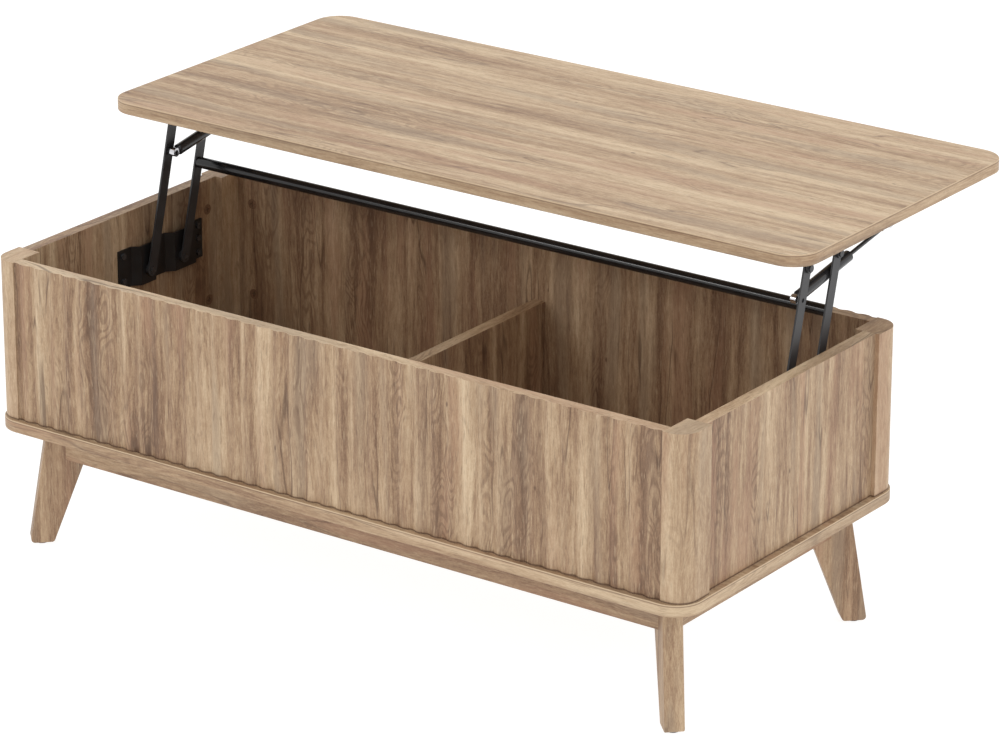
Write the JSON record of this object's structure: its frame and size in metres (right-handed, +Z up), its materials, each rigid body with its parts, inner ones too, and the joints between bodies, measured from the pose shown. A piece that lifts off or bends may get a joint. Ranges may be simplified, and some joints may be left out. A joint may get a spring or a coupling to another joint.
{
  "type": "lift top coffee table",
  "caption": "Low storage table on splayed legs; its round-cornered top swings up and across on parallel arms with gas struts over a divided box with reeded long sides.",
  "frame": {"origin": "on the floor, under the middle of the whole table's box with the top raised as stored", "axes": "+X along the long sides, to the right seen from the near long side; +Y towards the side the raised top moves over; +Z up"},
  "size_m": [1.1, 0.7476, 0.56],
  "materials": {
    "top_board": "matt rustic oak decor with a fine pressed grain",
    "base_board": "matt rustic oak decor",
    "reeded_panels": "matt rustic oak decor foil over a reeded face, upright grain",
    "side_panels": "matt rustic oak decor, upright grain",
    "posts": "matt rustic oak decor, upright grain",
    "divider": "matt rustic oak decor",
    "aprons": "matt rustic oak decor, grain along the length",
    "legs": "matt rustic oak decor, grain along the length",
    "blocks": "plain sawn softwood",
    "dowels": "plain beech",
    "black_steel": "satin black powder coat",
    "strut_black": "semi-gloss black paint",
    "rod_black": "black nitrided and polished",
    "bright_steel": "bright nickel plate",
    "dark_fasteners": "black zinc",
    "zinc_hardware": "bright zinc plate",
    "cam_caps": "brown cap",
    "nylon_washers": "black nylon",
    "glides": "dark plastic"
  },
  "bodies": {
    "box": {"bottom_board": "base_board", "front_panel": "reeded_panels", "back_panel": "reeded_panels", "centre_divider": "divider", "left_panel": "side_panels", "right_panel": "side_panels", "front_apron": "aprons", "back_apron": "aprons", "left_apron": "aprons", "right_apron": "aprons", "corner_blocks": "blocks", "post_front_left": "posts", "leg_front_left": "legs", "post_front_right": "posts", "leg_front_right": "legs", "post_back_left": "posts", "leg_back_left": "legs", "post_back_right": "posts", "leg_back_right": "legs", "wall_bracket_left": "black_steel", "wall_bracket_right": "black_steel", "wall_screws": "dark_fasteners", "lower_rivets": "dark_fasteners", "lower_washers": "nylon_washers", "base_screws": "zinc_hardware", "cam_bolts": "zinc_hardware", "leg_bolts": "zinc_hardware", "cam_locks": "cam_caps", "dowels": "dowels", "leg_glides": "glides"},
    "rear_arms": {"rear_arm_left": "black_steel", "rear_arm_right": "black_steel", "crossbar": "black_steel"},
    "lid": {"tabletop": "top_board", "top_rail_left": "black_steel", "top_rail_right": "black_steel", "rail_screws": "dark_fasteners", "upper_rivets": "dark_fasteners", "upper_washers": "nylon_washers", "strut_nuts": "dark_fasteners"},
    "front_arm_left": {"front_arm_left": "black_steel", "strut_stud_left": "bright_steel"},
    "strut_cylinder_left": {"strut_cylinder_left": "strut_black", "strut_socket_left": "bright_steel"},
    "strut_rod_left": {"strut_rod_left": "rod_black", "rod_socket_left": "bright_steel", "rod_stud_left": "bright_steel"},
    "front_arm_right": {"front_arm_right": "black_steel", "strut_stud_right": "bright_steel"},
    "strut_cylinder_right": {"strut_cylinder_right": "strut_black", "strut_socket_right": "bright_steel"},
    "strut_rod_right": {"strut_rod_right": "rod_black", "rod_socket_right": "bright_steel", "rod_stud_right": "bright_steel"}
  },
  "joints": [
    {"name": "lift", "type": "hinge", "parent": "box", "child": "rear_arms", "pos_m": [0, -0.02305, 0.317], "axis": [1, 0, 0], "range_deg": [0, 87.63]},
    {"name": "top_pivot", "type": "hinge", "parent": "rear_arms", "child": "lid", "pos_m": [0, 0.02828, 0.51547], "axis": [1, 0, 0], "range_deg": [-87.63, 0]},
    {"name": "front_arm_left_pivot", "type": "hinge", "parent": "box", "child": "front_arm_left", "pos_m": [-0.50515, -0.09325, 0.317], "axis": [1, 0, 0], "range_deg": [0, 87.63]},
    {"name": "strut_left_swing", "type": "hinge", "parent": "front_arm_left", "child": "strut_cylinder_left", "pos_m": [-0.4951, -0.05219, 0.47578], "axis": [1, 0, 0], "range_deg": [-94.03, 0]},
    {"name": "strut_left_stroke", "type": "slide", "parent": "strut_cylinder_left", "child": "strut_rod_left", "axis": [0, 0.985, 0.1724], "range_m": [-0.05251, 0]},
    {"name": "front_arm_right_pivot", "type": "hinge", "parent": "box", "child": "front_arm_right", "pos_m": [0.50515, -0.09325, 0.317], "axis": [1, 0, 0], "range_deg": [0, 87.63]},
    {"name": "strut_right_swing", "type": "hinge", "parent": "front_arm_right", "child": "strut_cylinder_right", "pos_m": [0.4951, -0.05219, 0.47578], "axis": [1, 0, 0], "range_deg": [-94.03, 0]},
    {"name": "strut_right_stroke", "type": "slide", "parent": "strut_cylinder_right", "child": "strut_rod_right", "axis": [0, 0.985, 0.1724], "range_m": [-0.05251, 0]}
  ],
  "couplings": [
    {"joint": "top_pivot", "follows": "lift", "ratio": -1},
    {"joint": "front_arm_left_pivot", "follows": "lift", "ratio": 1},
    {"joint": "strut_left_swing", "follows": "lift", "ratio": -1.073},
    {"joint": "strut_left_stroke", "follows": "lift", "m_per_rad": -0.034326},
    {"joint": "front_arm_right_pivot", "follows": "lift", "ratio": 1},
    {"joint": "strut_right_swing", "follows": "lift", "ratio": -1.073},
    {"joint": "strut_right_stroke", "follows": "lift", "m_per_rad": -0.034326}
  ]
}
